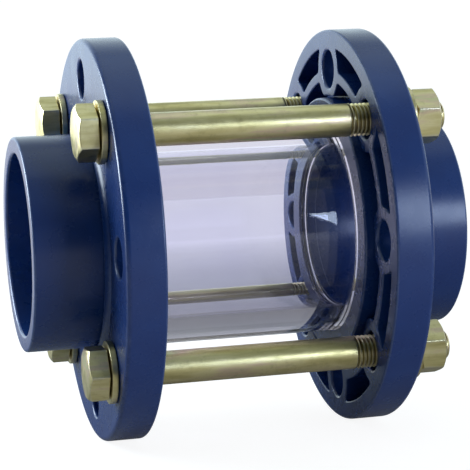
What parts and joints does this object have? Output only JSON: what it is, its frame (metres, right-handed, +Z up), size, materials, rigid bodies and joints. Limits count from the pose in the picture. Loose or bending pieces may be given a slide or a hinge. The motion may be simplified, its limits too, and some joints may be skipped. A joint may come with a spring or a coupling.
{
  "type": "sight glass",
  "caption": "Straight flanged sight glass: a thick clear tube clamped between two pipe socket ends by loose ribbed flanges and long hexagon bolts.",
  "frame": {"origin": "centre of the sight tube, on the flow axis", "axes": "+X along the flow axis from the bolt-head end to the nut end, +Z up with an open bolt hole straight up"},
  "size_m": [0.216, 0.2, 0.2],
  "materials": {
    "moulded_pvc": "satin moulded, dark blue-grey",
    "clear_tube": "clear, polished, faint blue-violet tint",
    "seal_rubber": "matt black EPDM",
    "zinc_steel": "yellow-passivated zinc plate"
  },
  "bodies": {
    "line": {"sight_tube": "clear_tube", "inlet_stub_end": "moulded_pvc", "outlet_stub_end": "moulded_pvc", "inlet_o_ring": "seal_rubber", "outlet_o_ring": "seal_rubber"},
    "flange_cage": {"inlet_backing_flange": "moulded_pvc", "outlet_backing_flange": "moulded_pvc", "bolt_1": "zinc_steel", "bolt_2": "zinc_steel", "bolt_3": "zinc_steel", "bolt_4": "zinc_steel", "head_washer_1": "zinc_steel", "head_washer_2": "zinc_steel", "head_washer_3": "zinc_steel", "head_washer_4": "zinc_steel"},
    "loose_washer_1": {"nut_washer_1": "zinc_steel"},
    "loose_washer_2": {"nut_washer_2": "zinc_steel"},
    "loose_washer_3": {"nut_washer_3": "zinc_steel"},
    "loose_washer_4": {"nut_washer_4": "zinc_steel"},
    "turning_nut_1": {"nut_1": "zinc_steel"},
    "turning_nut_2": {"nut_2": "zinc_steel"},
    "turning_nut_3": {"nut_3": "zinc_steel"},
    "turning_nut_4": {"nut_4": "zinc_steel"}
  },
  "joints": [
    {"name": "cage_swivel", "type": "hinge", "parent": "line", "child": "flange_cage", "pos_m": [0, 0, 0], "axis": [1, 0, 0], "continuous": true},
    {"name": "nut_1_travel", "type": "slide", "parent": "flange_cage", "child": "loose_washer_1", "axis": [1, 0, 0], "range_m": [0, 0.016]},
    {"name": "nut_1_turn", "type": "hinge", "parent": "loose_washer_1", "child": "turning_nut_1", "pos_m": [0.0764, -0.05657, 0.05657], "axis": [1, 0, 0], "range_deg": [0, 2890]},
    {"name": "nut_2_travel", "type": "slide", "parent": "flange_cage", "child": "loose_washer_2", "axis": [1, 0, 0], "range_m": [0, 0.016]},
    {"name": "nut_2_turn", "type": "hinge", "parent": "loose_washer_2", "child": "turning_nut_2", "pos_m": [0.0764, -0.05657, -0.05657], "axis": [1, 0, 0], "range_deg": [0, 2890]},
    {"name": "nut_3_travel", "type": "slide", "parent": "flange_cage", "child": "loose_washer_3", "axis": [1, 0, 0], "range_m": [0, 0.016]},
    {"name": "nut_3_turn", "type": "hinge", "parent": "loose_washer_3", "child": "turning_nut_3", "pos_m": [0.0764, 0.05657, -0.05657], "axis": [1, 0, 0], "range_deg": [0, 2890]},
    {"name": "nut_4_travel", "type": "slide", "parent": "flange_cage", "child": "loose_washer_4", "axis": [1, 0, 0], "range_m": [0, 0.016]},
    {"name": "nut_4_turn", "type": "hinge", "parent": "loose_washer_4", "child": "turning_nut_4", "pos_m": [0.0764, 0.05657, 0.05657], "axis": [1, 0, 0], "range_deg": [0, 2890]}
  ],
  "couplings": [
    {"joint": "nut_1_turn", "follows": "nut_1_travel", "rad_per_m": 3141.6},
    {"joint": "nut_2_turn", "follows": "nut_2_travel", "rad_per_m": 3141.6},
    {"joint": "nut_3_turn", "follows": "nut_3_travel", "rad_per_m": 3141.6},
    {"joint": "nut_4_turn", "follows": "nut_4_travel", "rad_per_m": 3141.6}
  ]
}
